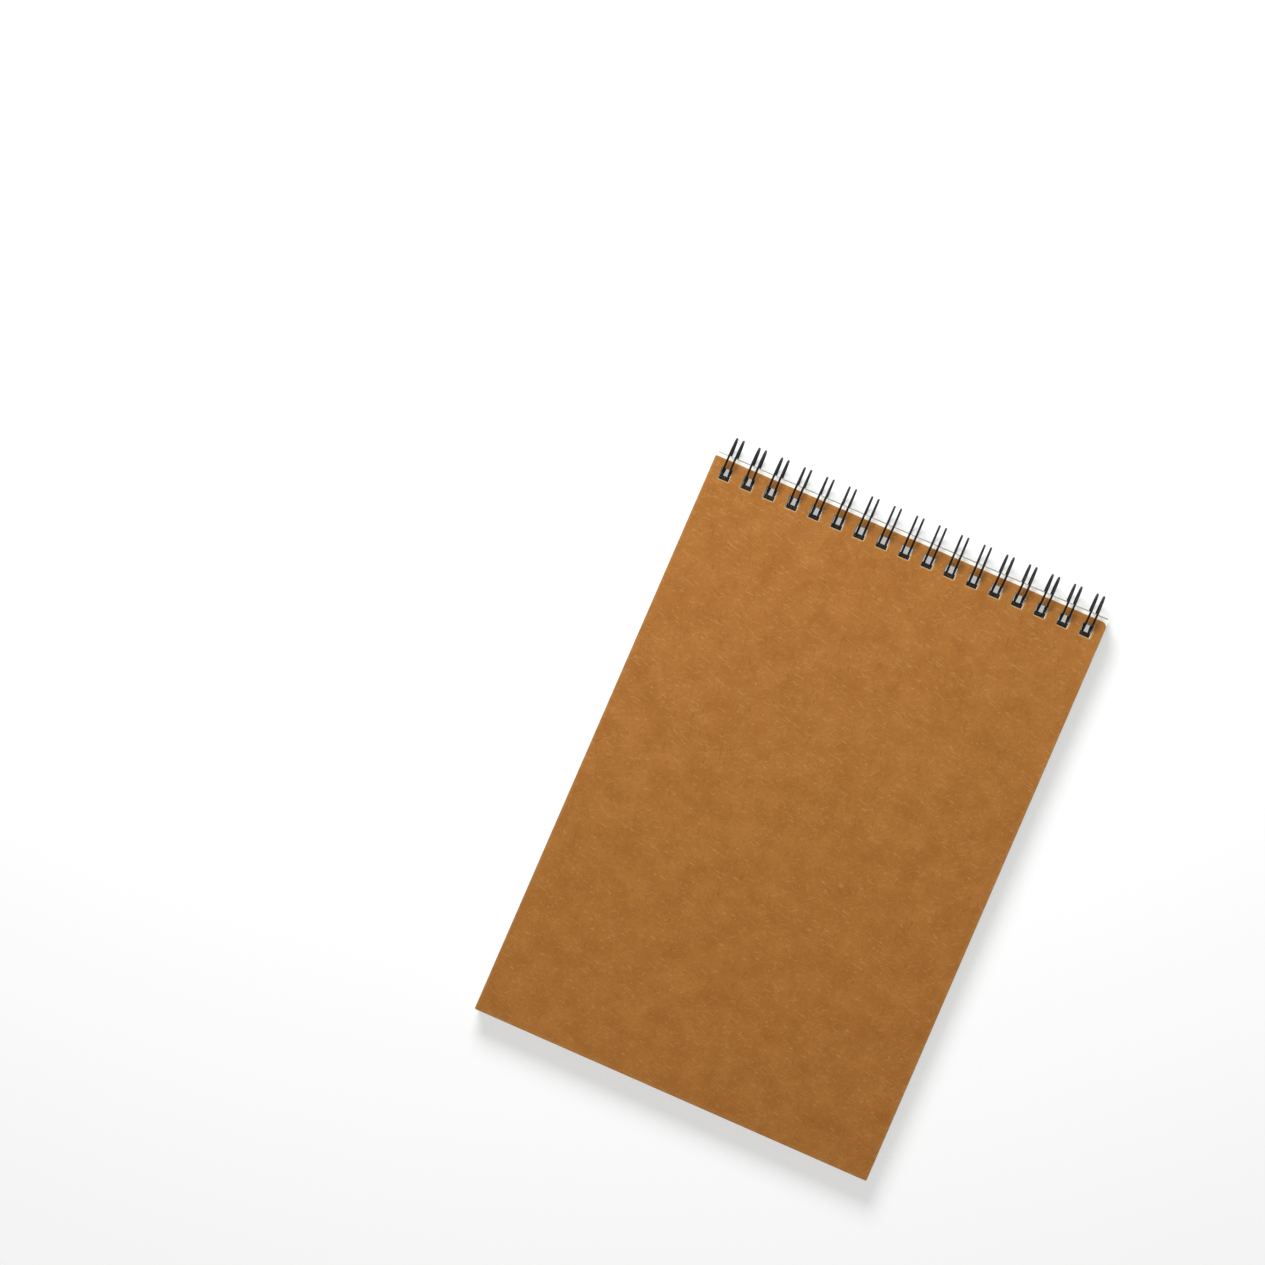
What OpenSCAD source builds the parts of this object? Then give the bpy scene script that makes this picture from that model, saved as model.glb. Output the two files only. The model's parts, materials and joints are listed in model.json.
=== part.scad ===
// A sketchbook bound along its short top edge with one twin-loop wire. It lies on its back cover:
// +Z is up, +Y points to the wire, and the origin is under the middle of the whole book.
// Every leaf turns about the centre line of the wire's rings, which runs along X.

/* [Covers] */
// Width of the book, along the wire
cover_w = 147; // [90:1:220]
// Height of the covers, from the wire edge to the foot
cover_h = 208.6; // [120:0.1:300]
// Thickness of the front cover's board
front_board = 0.7; // [0.4:0.05:1.2]
// Thickness of the back cover's board
back_board = 1.15; // [0.8:0.05:1.8]
// Radius of the three square-cut corners
corner_r = 0.5; // [0.3:0.1:3]
// Radius of the front cover's blunted corner, at the right of the wire edge
blunt_r = 2; // [0.5:0.1:6]

/* [Sheets] */
// Number of sheets of paper
sheet_count = 50; // [10:1:56]
// Thickness of one sheet
sheet_t = 0.14; // [0.08:0.01:0.2]
// Air between one leaf and the next
leaf_gap = 0.01; // [0.005:0.005:0.03]
// How far the sheets stay inside the covers at each side and at the foot
sheet_trim = 0.15; // [0:0.05:1]
// How far the sheets are scattered sideways in the stack
sheet_scatter = 0.07; // [0:0.01:0.1]
// How far the first sheet stands out past the front cover at the wire edge
first_lean = 1.2; // [0:0.1:1.6]
// How far the last sheet stands out past the front cover at the wire edge
last_lean = 1.6; // [1:0.1:2]
// How far the back cover stands out past the front cover at the wire edge
back_lean = 2.1; // [1.2:0.1:2.5]

/* [Binding] */
// Distance from one hole to the next, three to the inch
hole_pitch = 8.467; // [7:0.001:9]
// Least distance from a side of the book to the middle of the end holes
end_margin = 5.5; // [4:0.5:12]
// Board left between the wire edge and the holes in the covers
hole_margin = 2.9; // [2:0.1:4]
// Extra paper left between the wire edge and the holes in the sheets
sheet_margin = 1.2; // [0.6:0.1:1.5]
// Thickness of the wire with its coating
wire_d = 0.8; // [0.7:0.1:1.2]
// Distance between the two wires of a loop
loop_w = 2.4; // [1.8:0.1:2.8]
// Bend radius of the wire where a loop leaves the spine of the wire
wire_bend = 0.7; // [0.6:0.05:1]
// Length of the cut wire ends past the outer loops
wire_end = 1.2; // [0.5:0.1:2]
// Room inside the rings over the thickness of the bound leaves
ring_room = 3.2; // [2.2:0.1:5]
// Clearance between the back cover's outer face and the lowest inside point of the rings
back_room = 0.75; // [0.6:0.05:1.5]
// Clearance between the wire and the ends of the holes nearest the wire edge
hole_play = 0.55; // [0.2:0.05:0.8]
// Clearance between the wire and the ends of the holes nearest the foot
hole_room = 1; // [0.2:0.05:1.5]
// Clearance between a loop and the sides of its hole
side_play = 0.4; // [0.2:0.05:0.5]
// Clearance from the spine of the wire to the back cover over it and to the loops' tips
seam_play = 0.06; // [0.04:0.01:0.15]

/* [Hidden] */
KRAFT = [0.68, 0.45, 0.22];
BOARD = [0.56, 0.55, 0.52];
PAPER = [0.96, 0.95, 0.92];
WIRE = [0.05, 0.05, 0.055];
WIRE_SIDES = 6;
LEG_STEPS = 15;
BEND_STEP = 45;
CORNER_SIDES = 32;
GOLDEN_ANGLE = 137.5;

loop_count = floor((cover_w - 2 * end_margin) / hole_pitch) + 1;
hole_w = loop_w + wire_d + 2 * side_play;
leaf_step = sheet_t + leaf_gap;
book_t = front_board + sheet_count * leaf_step + leaf_gap + back_board;

// the rings: inside, centre line and outside
ring_in = (book_t + ring_room) / 2;
ring_r = ring_in + wire_d / 2;
ring_out = ring_in + wire_d;

// offsets of the leaves' lower faces from the centre of the rings
back_low = back_room - ring_in;
back_top = back_low + back_board;

// the sheets lean by a parabola: least at the top of the stack, most at its foot
function lean(i) = first_lean + (last_lean - first_lean) * pow((i - 1) / (sheet_count - 1), 2);
// how far the wire's outside or inside lies from the centre line of the rings, at an offset h
function chord(r, h) = sqrt(r * r - h * h);

function sheet_low(i) = back_top + leaf_gap + (sheet_count - i) * leaf_step;
front_low = sheet_low(1) + sheet_t + leaf_gap;
front_top = front_low + front_board;

// the holes are as long as the wire's sweep through all the leaves, plus play at both ends
function sheet_shift(i) = lean(i) - sheet_margin;
function sheet_far(i) = max(abs(sheet_low(i)), abs(sheet_low(i) + sheet_t));
sheets_out = max([for (i = [1 : sheet_count]) chord(ring_out, sheet_low(i)) + sheet_shift(i)]);
sheets_in = min([for (i = [1 : sheet_count]) chord(ring_in, sheet_far(i)) + sheet_shift(i)]);
far_sweep = max(chord(ring_out, front_low), sheets_out, chord(ring_out, back_top) + back_lean);
near_sweep = min(chord(ring_in, front_top), sheets_in, chord(ring_in, back_low) + back_lean);
hole_l = far_sweep - near_sweep + hole_play + hole_room;
// distance from the front cover's wire edge to the centre of the rings
ring_y = near_sweep - hole_margin - hole_play;

// the back cover lies on its foot and on the rings, so the whole book rises towards the wire
back_reach = cover_h + ring_y - back_lean;
tilt = asin(ring_out / norm([back_reach, back_low])) - atan2(-back_low, back_reach);

// place of the rings' centre, with the whole book centred on the origin
foot_y = (cover_h + ring_y) * cos(tilt) + front_top * sin(tilt);
pivot = [0, (foot_y - ring_out) / 2, ring_out];

// the spine of the wire lies under the back cover; angles run from +Y towards +Z
seam_a = 180 + tilt + asin((-back_low + wire_d / 2 + seam_play) / ring_r);
mm_to_deg = 180 / (PI * ring_r);
// the tips of the loops nest between the bends at the spine, a wire's thickness from them
bend_x = loop_w / 2 + wire_bend * (1 - cos(BEND_STEP));
bend_u = wire_bend * (1 - sin(BEND_STEP));
tip_back = chord(loop_w / 2 + wire_d + seam_play, bend_x) - bend_u;
leg_end = 360 / mm_to_deg - tip_back;

function sheet_name(i) = str("sheet_", i < 10 ? "0" : "", i);
function loop_x(k) = (k - (loop_count + 1) / 2) * hole_pitch;

// ---- Leaves ----

// a rectangle with its own radius at the right of the wire edge
module leaf_outline(w, foot, top, r, right_r) {
    hull() {
        translate([-w / 2 + r, foot + r]) circle(r, $fn = CORNER_SIDES);
        translate([w / 2 - r, foot + r]) circle(r, $fn = CORNER_SIDES);
        translate([-w / 2 + r, top - r]) circle(r, $fn = CORNER_SIDES);
        translate([w / 2 - right_r, top - right_r]) circle(right_r, $fn = CORNER_SIDES);
    }
}

module holes(top) {
    for (k = [1 : loop_count]) {
        translate([loop_x(k) - hole_w / 2, top - hole_margin - hole_l]) square([hole_w, hole_l]);
    }
}

// a leaf drawn around the rings' centre, set at its offset and turned by the tilt of the book
module leaf(low, thick) {
    translate(pivot) rotate([tilt, 0, 0]) translate([0, 0, low]) linear_extrude(thick) children();
}

module front_cover() {
    color(KRAFT) leaf(front_low, front_board) difference() {
        leaf_outline(cover_w, -ring_y - cover_h, -ring_y, corner_r, blunt_r);
        holes(-ring_y);
    }
}

module back_cover() {
    top = -ring_y + back_lean;
    color(BOARD) leaf(back_low, back_board) difference() {
        leaf_outline(cover_w, top - cover_h, top, corner_r, corner_r);
        holes(top);
    }
}

module sheet(i) {
    top = -ring_y + lean(i);
    w = cover_w - 2 * sheet_trim;
    h = cover_h - sheet_trim;
    shift = sheet_scatter * sin(i * GOLDEN_ANGLE);
    color(PAPER) leaf(sheet_low(i), sheet_t) difference() {
        translate([shift - w / 2, top - h]) square([w, h]);
        translate([shift, 0]) holes(top - sheet_margin);
    }
}

// ---- Wire ----

// The wire's path is drawn flat: x across the book, u along the ring from the spine, and its heading.
function arc(cx, cu, r, from, to, side) = [
    for (h = [from : (to > from ? 1 : -1) * BEND_STEP : to])
        [cx + side * r * sin(h), cu - side * r * cos(h), h]
];
function leg(x, from, to, heading) = [
    for (s = [1 : LEG_STEPS - 1]) [x, from + (to - from) * s / LEG_STEPS, heading]
];
function loop_path(x) = concat(
    arc(x - loop_w / 2 - wire_bend, wire_bend, wire_bend, 0, 90, 1),
    leg(x - loop_w / 2, wire_bend, leg_end, 90),
    arc(x, leg_end, loop_w / 2, 90, -90, -1),
    leg(x + loop_w / 2, leg_end, wire_bend, -90),
    arc(x + loop_w / 2 + wire_bend, wire_bend, wire_bend, -90, 0, 1)
);
wire_out = loop_x(loop_count) + loop_w / 2 + wire_bend + wire_end;
wire_path = concat(
    [[-wire_out, 0, 0]],
    [for (k = [1 : loop_count]) each loop_path(loop_x(k))],
    [[wire_out, 0, 0]]
);

// a ring of points square to the wire, at one point of its path wrapped round the rings
function section(p) =
    let (
        a = seam_a + p[1] * mm_to_deg,
        outward = [0, cos(a), sin(a)],
        along = [cos(p[2]), -sin(a) * sin(p[2]), cos(a) * sin(p[2])],
        across = cross(along, outward)
    )
    [
        for (s = [0 : WIRE_SIDES - 1])
            [p[0], ring_r * cos(a), ring_r * sin(a)]
            + wire_d / 2 * (outward * cos(s * 360 / WIRE_SIDES) + across * sin(s * 360 / WIRE_SIDES))
    ];

module wire() {
    points = [for (p = wire_path) each section(p)];
    last = len(wire_path) - 1;
    sides = [
        for (p = [0 : last - 1])
            for (s = [0 : WIRE_SIDES - 1])
                let (next = (s + 1) % WIRE_SIDES, a = p * WIRE_SIDES, b = a + WIRE_SIDES)
                    [a + s, b + s, b + next, a + next]
    ];
    start_cap = [for (s = [0 : WIRE_SIDES - 1]) s];
    end_cap = [for (s = [WIRE_SIDES - 1 : -1 : 0]) last * WIRE_SIDES + s];
    color(WIRE) translate(pivot) polyhedron(points, concat([start_cap], sides, [end_cap]));
}

back_cover();
wire();
front_cover();
for (i = [1 : sheet_count]) {
    sheet(i);
}
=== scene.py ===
import json
import math
import random

import bmesh
import bpy
from mathutils import Matrix, Vector
from mathutils.geometry import delaunay_2d_cdt


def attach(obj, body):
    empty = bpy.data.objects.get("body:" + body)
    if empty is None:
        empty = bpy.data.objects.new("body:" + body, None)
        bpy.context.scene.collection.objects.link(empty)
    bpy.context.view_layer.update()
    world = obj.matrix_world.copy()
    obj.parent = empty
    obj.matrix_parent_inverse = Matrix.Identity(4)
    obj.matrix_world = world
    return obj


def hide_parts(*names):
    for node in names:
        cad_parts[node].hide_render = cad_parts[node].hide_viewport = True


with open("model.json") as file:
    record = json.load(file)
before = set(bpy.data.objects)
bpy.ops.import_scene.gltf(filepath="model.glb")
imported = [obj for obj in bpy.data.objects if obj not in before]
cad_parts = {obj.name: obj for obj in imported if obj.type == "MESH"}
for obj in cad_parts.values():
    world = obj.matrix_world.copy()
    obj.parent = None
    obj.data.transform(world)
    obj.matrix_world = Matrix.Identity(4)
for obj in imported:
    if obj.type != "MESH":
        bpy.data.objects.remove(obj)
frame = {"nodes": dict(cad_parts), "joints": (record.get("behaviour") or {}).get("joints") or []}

# The visual model of a sketchbook bound with a twin-loop wire.
# Everything is in metres, in the CAD's frame.
MM = 0.001
PIVOT = Vector(frame["joints"][0]["pos_m"])

# the wire, as in the CAD
WIRE_D = 0.8 * MM
LOOP_W = 2.4 * MM
BEND = 0.7 * MM
WIRE_END = 1.2 * MM
SEAM_PLAY = 0.06 * MM
PITCH = 8.467 * MM
LOOPS = 17
RING_R = PIVOT.z - WIRE_D / 2
# the CAD's step round a bend, which sets where its loops' tips are
CAD_BEND_STEP = math.radians(45)
# the finer steps taken here
WIRE_SIDES = 14
LEG_STEPS = 36
BEND_STEP = 15

# how unevenly the loops are bent: how far each leans and shifts at most, and the seed of the draws
LOOP_LEAN = 0.12 * MM
LOOP_SHIFT = 0.06 * MM
SEED = 7

# the boards and their punched holes, with the radii of their corners
CORNER_R = 0.5 * MM
BLUNT_R = 2.0 * MM
HOLE_R = 0.35 * MM
HOLE_MARGIN = 2.9 * MM
HOLE_W = 4.0 * MM
CORNER_STEPS = 8
LEAST_R = 0.04 * MM

# how a CAD leaf is read: its upward face, and the strip along the wire edge that holds its holes
FACING_UP = 0.9
HOLE_STRIP = 10 * MM
NEARLY = 0.01 * MM

# triangulation: only inside the outer outline, with points this near taken as one
INSIDE = 1
MERGE = 1e-9

# edges sharper than this many degrees stay sharp
SHARP = 35
WIRE_SHARP = 50

# A board's section from its face to the edge: distance from the edge, depth under the face (mm), wear.
EDGE = ((1.5, 0, 0), (0.5, 0, 0.3), (0.16, 0, 0.85), (0.05, 0.04, 1), (0, 0.13, 1))
# the punch draws the face down into the hole
RIM = ((0.8, 0, 0), (0.48, 0, 0.25), (0.34, 0.015, 0.7), (0.2, 0.06, 1), (0.08, 0.15, 1), (0, 0.27, 1))
RIM_BACK = ((0.5, 0, 0), (0.2, 0, 0.4), (0.08, 0.02, 1), (0, 0.06, 1))
# nearer to the edge than this, the board's core shows
CUT_FROM_EDGE = 0.06 * MM
CUT_FROM_RIM = 0.21 * MM

# kraft board: its cloud, its flecks and its worn edges
KRAFT_DEEP = (0.315, 0.118, 0.0203, 1)
KRAFT_LIGHT = (0.386, 0.155, 0.0304, 1)
KRAFT_SPECK = (0.274, 0.095, 0.0156, 1)
KRAFT_DOT = (0.515, 0.319, 0.1326, 1)
KRAFT_WORN = (0.465, 0.286, 0.117, 1)
# direction in degrees, the noise from which and to which they fade in, strength and colour
KRAFT_FIBRES = (
    (12, 0.6, 0.72, 0.5, (0.481, 0.26, 0.0897, 1)),
    (-35, 0.61, 0.73, 0.4, (0.465, 0.244, 0.0819, 1)),
    (78, 0.6, 0.74, 0.45, (0.195, 0.069, 0.014, 1)),
    (-70, 0.61, 0.74, 0.4, (0.207, 0.074, 0.0156, 1)),
)

# grey board: the same, without flecks
GREY_DEEP = (0.25, 0.24, 0.215, 1)
GREY_LIGHT = (0.335, 0.325, 0.295, 1)
GREY_WORN = (0.42, 0.41, 0.38, 1)
GREY_FIBRES = (
    (20, 0.62, 0.72, 0.4, (0.13, 0.13, 0.13, 1)),
    (-50, 0.62, 0.72, 0.3, (0.5, 0.49, 0.46, 1)),
    (85, 0.62, 0.72, 0.35, (0.15, 0.14, 0.16, 1)),
    (-10, 0.62, 0.72, 0.3, (0.48, 0.45, 0.4, 1)),
)

# the pale and the dark layers of each board's core
KRAFT_CORE = ((0.52, 0.35, 0.19, 1), (0.4, 0.24, 0.11, 1))
GREY_CORE = ((0.4, 0.39, 0.35, 1), (0.26, 0.25, 0.23, 1))

# paper: the least and the most white sheet, and its faint cloud
PAPER_DULL = (0.82, 0.8, 0.75, 1)
PAPER_WHITE = (0.91, 0.895, 0.85, 1)
PAPER_CLOUD = (0.86, 0.84, 0.79, 1)
# how often the tone changes in a metre of stacked sheets: about once a sheet
SHEETS_APART = 7300

# the wire's coat and its cut ends, darkest and lightest
COAT = ((0.005, 0.005, 0.006, 1), (0.01, 0.01, 0.011, 1))
STEEL = ((0.34, 0.34, 0.35, 1), (0.55, 0.55, 0.56, 1))

# camera: above the middle of the book, tipped so that the book lies low and right in the frame
CAMERA_AT = (0.003, -0.0042, 1.5096)
CAMERA_TURN = (2.4659, 2.1886, 23.5659)
CAMERA_LENS = 123.75
CAMERA_CLIP = (0.05, 50)
SENSOR = 36

# one round lamp aimed at the origin, even light from all round, and a floor that glows a little
WHITE = (1, 1, 1, 1)
KEY_FROM = Vector((-0.3, 0.5, 0.54))
KEY_SIZE = 0.4
KEY_POWER = 6.8
AMBIENT = 0.43
FLOOR_SIZE = 24
FLOOR_COLOR = (0.52, 0.52, 0.52, 1)
FLOOR_ROUGH = 0.9
FLOOR_GLOW = 0.45


# ---- Shader nodes ----

def new_material(name):
    """A material with its node tree and its shader."""
    material = bpy.data.materials.new(name)
    material.use_nodes = True
    tree = material.node_tree
    return material, tree, tree.nodes["Principled BSDF"]


def add(tree, kind, inputs=None, **settings):
    """A node with its settings, and its inputs set to values or linked to sockets."""
    made = tree.nodes.new(kind)
    for key, value in settings.items():
        setattr(made, key, value)
    for key, value in (inputs or {}).items():
        join(tree, value, made.inputs[key])
    return made


def join(tree, value, socket):
    """Links a socket to an input, or sets the input to a plain value."""
    if isinstance(value, bpy.types.NodeSocket):
        tree.links.new(value, socket)
    else:
        socket.default_value = value


def place(tree, turn=(0, 0, 0), scale=(1, 1, 1)):
    """Object coordinates, turned first and then scaled, so that streaks lie at the turn's angle."""
    coords = add(tree, "ShaderNodeTexCoord").outputs["Object"]
    turn = tuple(math.radians(t) for t in turn)
    turned = add(tree, "ShaderNodeMapping", {"Vector": coords, "Rotation": turn}).outputs[0]
    return add(tree, "ShaderNodeMapping", {"Vector": turned, "Scale": scale}).outputs[0]


def noise(tree, vector, scale, detail=2.0, rough=0.5):
    """Noise from 0 to 1, whose patches are about 1 / scale metres across."""
    inputs = {"Vector": vector, "Scale": scale, "Detail": detail, "Roughness": rough}
    return add(tree, "ShaderNodeTexNoise", inputs).outputs[0]


def remap(tree, value, low, high, to_low=0.0, to_high=1.0):
    """A value spread from one range to another, and held inside it."""
    inputs = {"Value": value, "From Min": low, "From Max": high, "To Min": to_low, "To Max": to_high}
    return add(tree, "ShaderNodeMapRange", inputs).outputs[0]


def calculate(tree, operation, a, b):
    return add(tree, "ShaderNodeMath", {0: a, 1: b}, operation=operation).outputs[0]


def mix(tree, factor, a, b):
    """Colour a going over to colour b. Inputs 6 and 7 and output 2 are the node's colours."""
    made = add(tree, "ShaderNodeMix", data_type="RGBA", blend_type="MIX")
    join(tree, factor, made.inputs["Factor"])
    join(tree, a, made.inputs[6])
    join(tree, b, made.inputs[7])
    return made.outputs[2]


def tint(tree, color, pattern, strength, other):
    """A colour going over to another one where a pattern is high, by no more than strength."""
    return mix(tree, calculate(tree, "MULTIPLY", pattern, strength), color, other)


def bump(tree, height, distance, normal=None):
    inputs = {"Height": height, "Distance": distance, "Strength": 1.0}
    if normal:
        inputs["Normal"] = normal
    return add(tree, "ShaderNodeBump", inputs).outputs[0]


def fibres(tree, turn, along, across, low, high):
    """Thin streaks: noise drawn out in one direction."""
    vector = place(tree, turn=(0, 0, turn), scale=(along, across, along))
    return remap(tree, noise(tree, vector, 1.0, 2.0), low, high)


def wear_off(tree, flat, color, rough, most, worn):
    """A colour rubbed away in patches where the mesh says that it wears."""
    wear = add(tree, "ShaderNodeAttribute", attribute_name="wear").outputs["Fac"]
    patches = remap(tree, noise(tree, flat, 420, 3, rough), 0.4, 0.75, 0.1, most)
    return tint(tree, color, wear, patches, worn)


# ---- Materials ----

def kraft():
    """Brown kraft board: cloudy, with dark flecks, pale fibres and pale worn edges."""
    material, tree, shader = new_material("kraft")
    flat = place(tree)
    cloud = remap(tree, noise(tree, flat, 120, 3, 0.6), 0.3, 0.7)
    color = mix(tree, cloud, KRAFT_DEEP, KRAFT_LIGHT)
    specks = remap(tree, noise(tree, flat, 750, 3, 0.7), 0.28, 0.72)
    color = tint(tree, color, specks, 0.3, KRAFT_SPECK)
    for turn, low, high, strength, other in KRAFT_FIBRES:
        color = tint(tree, color, fibres(tree, turn, 330, 2300, low, high), strength, other)
    dots = remap(tree, noise(tree, flat, 1500, 1, 0.5), 0.7, 0.78)
    color = tint(tree, color, dots, 0.6, KRAFT_DOT)
    color = wear_off(tree, flat, color, 0.6, 0.8, KRAFT_WORN)
    join(tree, color, shader.inputs["Base Color"])
    join(tree, remap(tree, cloud, 0, 1, 0.86, 0.74), shader.inputs["Roughness"])
    coarse = bump(tree, noise(tree, flat, 500, 3, 0.6), 0.03 * MM)
    weave = calculate(tree, "ADD", *(fibres(tree, turn, 500, 4200, 0.35, 0.7) for turn in (12, 78)))
    join(tree, bump(tree, weave, 0.012 * MM, coarse), shader.inputs["Normal"])
    shader.inputs["Specular IOR Level"].default_value = 0.18
    return material


def board_core(name, pale, dark):
    """The cut edge of a board: pale pressed layers."""
    material, tree, shader = new_material(name)
    layers = remap(tree, noise(tree, place(tree, scale=(300, 300, 9000)), 1.0, 3, 0.6), 0.3, 0.7)
    join(tree, mix(tree, layers, dark, pale), shader.inputs["Base Color"])
    join(tree, bump(tree, layers, 0.04 * MM), shader.inputs["Normal"])
    shader.inputs["Roughness"].default_value = 0.9
    return material


def grey_board():
    """Board pressed from recycled paper: grey, with dark and pale fibres."""
    material, tree, shader = new_material("grey_board")
    flat = place(tree)
    cloud = remap(tree, noise(tree, flat, 150, 3, 0.6), 0.3, 0.7)
    color = mix(tree, cloud, GREY_DEEP, GREY_LIGHT)
    for turn, low, high, strength, other in GREY_FIBRES:
        color = tint(tree, color, fibres(tree, turn, 420, 2100, low, high), strength, other)
    color = wear_off(tree, flat, color, 0.5, 0.7, GREY_WORN)
    join(tree, color, shader.inputs["Base Color"])
    join(tree, remap(tree, cloud, 0, 1, 0.92, 0.8), shader.inputs["Roughness"])
    join(tree, bump(tree, noise(tree, flat, 900, 4, 0.65), 0.05 * MM), shader.inputs["Normal"])
    return material


def paper():
    """Drawing paper with a light tooth. The tone differs a little from sheet to sheet."""
    material, tree, shader = new_material("paper")
    flat = place(tree)
    by_sheet = noise(tree, place(tree, scale=(2, 2, SHEETS_APART)), 1.0, 1)
    color = mix(tree, remap(tree, by_sheet, 0.3, 0.7), PAPER_DULL, PAPER_WHITE)
    cloud = remap(tree, noise(tree, flat, 260, 4, 0.6), 0.35, 0.65, 0, 0.3)
    color = mix(tree, cloud, color, PAPER_CLOUD)
    join(tree, color, shader.inputs["Base Color"])
    join(tree, remap(tree, noise(tree, flat, 900), 0.3, 0.7, 0.8, 0.92), shader.inputs["Roughness"])
    join(tree, bump(tree, noise(tree, flat, 2600, 3, 0.6), 0.02 * MM), shader.inputs["Normal"])
    shader.inputs["Specular IOR Level"].default_value = 0.3
    return material


def coated_wire():
    """Steel wire in a satin black coat, with the faint unevenness of a dipped coat."""
    material, tree, shader = new_material("coated_wire")
    flat = place(tree)
    cloud = remap(tree, noise(tree, flat, 700, 2), 0.3, 0.7)
    join(tree, mix(tree, cloud, *COAT), shader.inputs["Base Color"])
    satin = remap(tree, noise(tree, flat, 1800, 3), 0.3, 0.7, 0.42, 0.56)
    join(tree, satin, shader.inputs["Roughness"])
    join(tree, bump(tree, noise(tree, flat, 1100, 2), 0.01 * MM), shader.inputs["Normal"])
    shader.inputs["Specular IOR Level"].default_value = 0.2
    return material


def cut_steel():
    """The bare ends where the wire was cut."""
    material, tree, shader = new_material("cut_steel")
    grain = noise(tree, place(tree, scale=(900, 5200, 900)), 1.0, 3)
    join(tree, mix(tree, remap(tree, grain, 0.3, 0.7), *STEEL), shader.inputs["Base Color"])
    join(tree, bump(tree, grain, 0.01 * MM), shader.inputs["Normal"])
    shader.inputs["Metallic"].default_value = 1.0
    shader.inputs["Roughness"].default_value = 0.35
    return material


# ---- Boards ----

class Leaf:
    """Where a CAD leaf lies: a flat plate around the rings' centre, turned by its tilt."""

    def __init__(self, node):
        mesh = frame["nodes"][node].data
        up = max(mesh.polygons, key=lambda p: p.area * (p.normal.z > FACING_UP)).normal
        self.tilt = math.atan2(-up.y, up.z)
        self.place = Matrix.Translation(PIVOT) @ Matrix.Rotation(self.tilt, 4, "X")
        flat = [self.place.inverted() @ v.co for v in mesh.vertices]
        self.left, self.right = min(p.x for p in flat), max(p.x for p in flat)
        self.foot, self.top = min(p.y for p in flat), max(p.y for p in flat)
        self.low, self.high = min(p.z for p in flat), max(p.z for p in flat)
        self.hole_top = self.top - HOLE_MARGIN
        self.hole_foot = min(p.y for p in flat if self.top - HOLE_STRIP < p.y < self.hole_top + NEARLY)


def rounded(left, foot, right, top, radii, inset):
    """Points round a rectangle pulled in by inset, from the left foot corner anticlockwise."""
    points = []
    corners = (
        (left, foot, 1, 1, 180),
        (right, foot, -1, 1, 270),
        (right, top, -1, -1, 0),
        (left, top, 1, -1, 90),
    )
    for (x, y, sx, sy, start), radius in zip(corners, radii):
        r = max(radius - inset, LEAST_R)
        middle = Vector((x + sx * (inset + r), y + sy * (inset + r)))
        for step in range(CORNER_STEPS + 1):
            a = math.radians(start + 90 * step / CORNER_STEPS)
            points.append(middle + r * Vector((math.cos(a), math.sin(a))))
    return points


def section(face, back, thick):
    """A whole section through a board's edge, as (distance from the edge, depth, wear)."""
    down = [(d * MM, z * MM, w) for d, z, w in face]
    up = [(d * MM, thick - z * MM, w) for d, z, w in reversed(back)]
    return down + up


def sweep_edge(bm, wear, leaf, outline, profile, cut_from, flip):
    """Strips of faces along an edge, following the profile from the face to the back.

    Returns the first and the last loop of vertices. Faces near the edge take the second material.
    """
    loops = []
    for distance, depth, worn in profile:
        points = outline(distance)
        verts = [bm.verts.new((p.x, p.y, leaf.high - depth)) for p in points]
        for v in verts:
            v[wear] = worn
        loops.append(verts)
    for step, (a, b) in enumerate(zip(loops, loops[1:])):
        cut = max(profile[step][0], profile[step + 1][0]) < cut_from
        for i in range(len(a)):
            j = (i + 1) % len(a)
            quad = (a[i], b[i], b[j], a[j])
            bm.faces.new(quad if flip else quad[::-1]).material_index = int(cut)
    return loops[0], loops[-1]


def box(verts):
    """The rectangle round some vertices: x from and to, y from and to."""
    xs, ys = [v.co.x for v in verts], [v.co.y for v in verts]
    return min(xs), max(xs), min(ys), max(ys)


def fill(bm, outer, holes, flip):
    """A flat face between an outer loop and the loops round the holes."""
    loops = [outer] + holes
    verts = [v for loop in loops for v in loop]
    edges, start = [], 0
    for loop in loops:
        edges += [(start + i, start + (i + 1) % len(loop)) for i in range(len(loop))]
        start += len(loop)
    boxes = [box(hole) for hole in holes]
    flat = [Vector((v.co.x, v.co.y)) for v in verts]
    _, _, faces, source, _, _ = delaunay_2d_cdt(flat, edges, [], INSIDE, MERGE)
    for face in faces:
        corners = [verts[source[i][0]] for i in face]
        x = sum(v.co.x for v in corners) / len(corners)
        y = sum(v.co.y for v in corners) / len(corners)
        if not any(x0 < x < x1 and y0 < y < y1 for x0, x1, y0, y1 in boxes):
            bm.faces.new(corners[::-1] if flip else corners)


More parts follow.
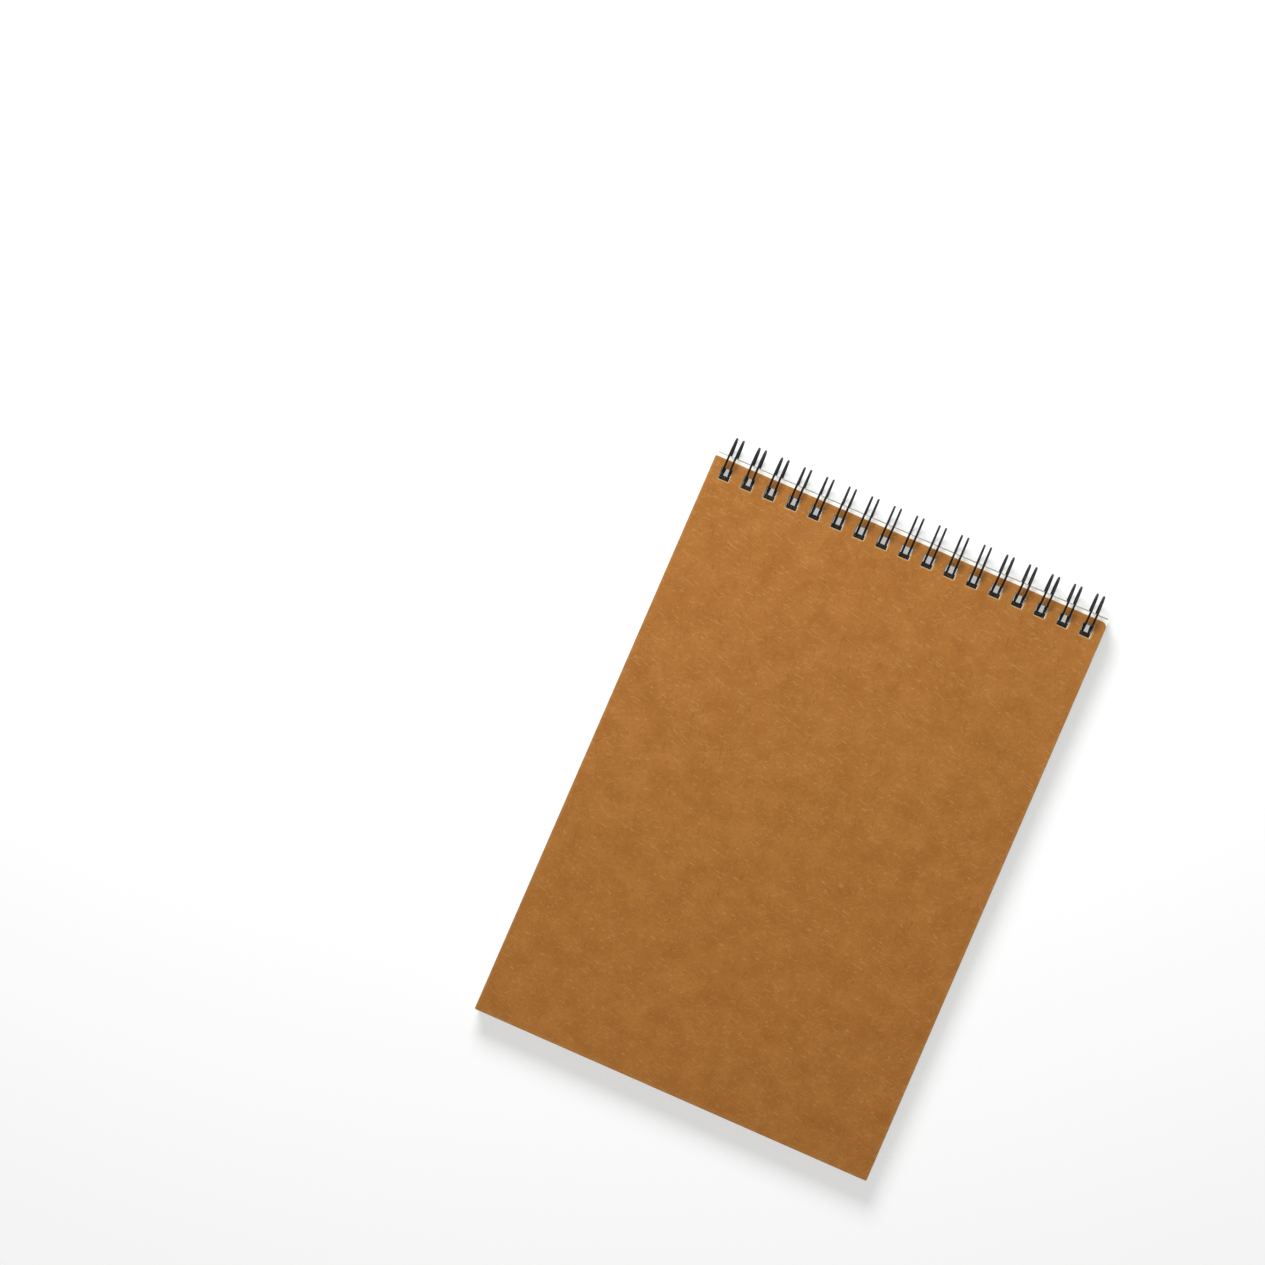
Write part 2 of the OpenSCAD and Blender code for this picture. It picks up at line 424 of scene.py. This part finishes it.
def punched_board(name, node, radii, materials, body):
    """A board with softened edges and a row of punched holes, in place of its CAD node."""
    leaf = Leaf(node)
    thick = leaf.high - leaf.low
    bm = bmesh.new()
    wear = bm.verts.layers.float.new("wear")
    whole = (leaf.left, leaf.foot, leaf.right, leaf.top)
    edge = section(EDGE, EDGE, thick)
    outer = sweep_edge(bm, wear, leaf, lambda d: rounded(*whole, radii, d), edge, CUT_FROM_EDGE, False)
    rim = section(RIM, RIM_BACK, thick)
    holes = []
    for k in range(LOOPS):
        x = loop_x(k)
        hole = (x - HOLE_W / 2, leaf.hole_foot, x + HOLE_W / 2, leaf.hole_top)
        around = lambda d, hole=hole: rounded(*hole, [HOLE_R] * 4, -d)
        holes.append(sweep_edge(bm, wear, leaf, around, rim, CUT_FROM_RIM, True))
    fill(bm, outer[0], [h[0] for h in holes], False)
    fill(bm, outer[1], [h[1] for h in holes], True)
    bm.transform(leaf.place)
    piece = make_piece(name, bm, materials)
    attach(piece, body)
    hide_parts(node)


def make_piece(name, bm, materials, sharp=SHARP):
    """An object made of the mesh so far, smooth except at its sharp edges."""
    mesh = bpy.data.meshes.new(name)
    bm.to_mesh(mesh)
    bm.free()
    for material in materials:
        mesh.materials.append(material)
    mesh.shade_smooth()
    mesh.set_sharp_from_angle(angle=math.radians(sharp))
    piece = bpy.data.objects.new(name, mesh)
    bpy.context.scene.collection.objects.link(piece)
    return piece


# ---- Wire ----

def loop_x(k):
    """The middle of loop k across the book, counted from 0 at the left."""
    return (k - (LOOPS - 1) / 2) * PITCH


def arc(x, u, r, start, end, side):
    """A bend of the wire's path, by its centre, radius and headings in degrees."""
    steps = int(abs(end - start) / BEND_STEP)
    made = []
    for i in range(steps + 1):
        h = math.radians(start + (end - start) * i / steps)
        made.append((x + side * r * math.sin(h), u - side * r * math.cos(h), h))
    return made


def straight(x, start, end, heading):
    """A leg of a loop, without its ends, which belong to the bends."""
    h = math.radians(heading)
    return [(x, start + (end - start) * i / LEG_STEPS, h) for i in range(1, LEG_STEPS)]


def wire_path():
    """The wire drawn flat: x across the book, u along the ring from the spine, and its heading."""
    bend_x = LOOP_W / 2 + BEND * (1 - math.cos(CAD_BEND_STEP))
    bend_u = BEND * (1 - math.sin(CAD_BEND_STEP))
    tip_back = math.sqrt((LOOP_W / 2 + WIRE_D + SEAM_PLAY) ** 2 - bend_x**2) - bend_u
    end = 2 * math.pi * RING_R - tip_back
    rng = random.Random(SEED)
    reach = loop_x(LOOPS - 1) + LOOP_W / 2 + BEND + WIRE_END
    path = [(-reach, 0, 0)]
    for k in range(LOOPS):
        x = loop_x(k)
        loop = arc(x - LOOP_W / 2 - BEND, BEND, BEND, 0, 90, 1)
        loop += straight(x - LOOP_W / 2, BEND, end, 90)
        loop += arc(x, end, LOOP_W / 2, 90, -90, -1)
        loop += straight(x + LOOP_W / 2, end, BEND, -90)
        loop += arc(x + LOOP_W / 2 + BEND, BEND, BEND, -90, 0, 1)
        lean, shift = rng.uniform(-1, 1) * LOOP_LEAN, rng.uniform(-1, 1) * LOOP_SHIFT
        for px, u, h in loop:
            swing = math.sin(math.pi * min(max(u / end, 0), 1))
            path.append((px + (lean * math.cos(2 * math.pi * u / end) + shift) * swing, u, h))
    path.append((reach, 0, 0))
    return path


def wire_ring(bm, spot, seam):
    """A ring of vertices square to the wire at one spot of its path."""
    x, u, h = spot
    a = seam + u / RING_R
    outward = Vector((0, math.cos(a), math.sin(a)))
    along = Vector((math.cos(h), -math.sin(a) * math.sin(h), math.cos(a) * math.sin(h)))
    across = along.cross(outward)
    middle = PIVOT + Vector((x, 0, 0)) + outward * RING_R
    ring = []
    for side in range(WIRE_SIDES):
        t = 2 * math.pi * side / WIRE_SIDES
        ring.append(bm.verts.new(middle + WIRE_D / 2 * (outward * math.cos(t) + across * math.sin(t))))
    return ring


def wire(materials):
    """The whole wire as one tube with two cut ends, in place of its CAD node."""
    back = Leaf("back_cover")
    seam = math.pi + back.tilt + math.asin((-back.low + WIRE_D / 2 + SEAM_PLAY) / RING_R)
    bm = bmesh.new()
    rings = [wire_ring(bm, spot, seam) for spot in wire_path()]
    for a, b in zip(rings, rings[1:]):
        for i in range(WIRE_SIDES):
            j = (i + 1) % WIRE_SIDES
            bm.faces.new((a[i], b[i], b[j], a[j]))
    for cap in (rings[0], rings[-1][::-1]):
        bm.faces.new(cap).material_index = 1
    bmesh.ops.recalc_face_normals(bm, faces=bm.faces)
    piece = make_piece("twin_loop_wire", bm, materials, WIRE_SHARP)
    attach(piece, "base")
    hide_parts("wire")


# ---- Studio ----

def floor():
    bm = bmesh.new()
    bmesh.ops.create_grid(bm, x_segments=1, y_segments=1, size=FLOOR_SIZE / 2)
    material, tree, shader = new_material("floor")
    shader.inputs["Base Color"].default_value = FLOOR_COLOR
    shader.inputs["Roughness"].default_value = FLOOR_ROUGH
    shader.inputs["Emission Color"].default_value = WHITE
    shader.inputs["Emission Strength"].default_value = FLOOR_GLOW
    make_piece("floor", bm, [material])


def lights():
    world = bpy.data.worlds.new("studio")
    world.use_nodes = True
    sky = world.node_tree.nodes["Background"]
    sky.inputs["Color"].default_value = WHITE
    sky.inputs["Strength"].default_value = AMBIENT
    bpy.context.scene.world = world
    data = bpy.data.lights.new("key", "AREA")
    data.shape = "DISK"
    data.size = KEY_SIZE
    data.energy = KEY_POWER
    key = bpy.data.objects.new("key", data)
    key.location = KEY_FROM
    key.rotation_euler = KEY_FROM.to_track_quat("Z", "Y").to_euler()
    bpy.context.scene.collection.objects.link(key)


def camera():
    data = bpy.data.cameras.new("camera")
    data.lens, data.sensor_width = CAMERA_LENS, SENSOR
    data.clip_start, data.clip_end = CAMERA_CLIP
    made = bpy.data.objects.new("camera", data)
    made.location = CAMERA_AT
    made.rotation_euler = [math.radians(t) for t in CAMERA_TURN]
    bpy.context.scene.collection.objects.link(made)
    bpy.context.scene.camera = made


def paint_sheets():
    """The CAD's own sheets, in paper."""
    material = paper()
    for name, node in frame["nodes"].items():
        if name.startswith("sheet_"):
            node.data.materials.clear()
            node.data.materials.append(material)


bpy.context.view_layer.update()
camera()
lights()
floor()
one_blunt = [CORNER_R, CORNER_R, BLUNT_R, CORNER_R]
kraft_looks = [kraft(), board_core("kraft_core", *KRAFT_CORE)]
punched_board("kraft_cover", "front_cover", one_blunt, kraft_looks, "front_cover")
grey_looks = [grey_board(), board_core("grey_core", *GREY_CORE)]
punched_board("back_board", "back_cover", [CORNER_R] * 4, grey_looks, "base")
wire([coated_wire(), cut_steel()])
paint_sheets()
bpy.context.scene.view_settings.view_transform = "Standard"
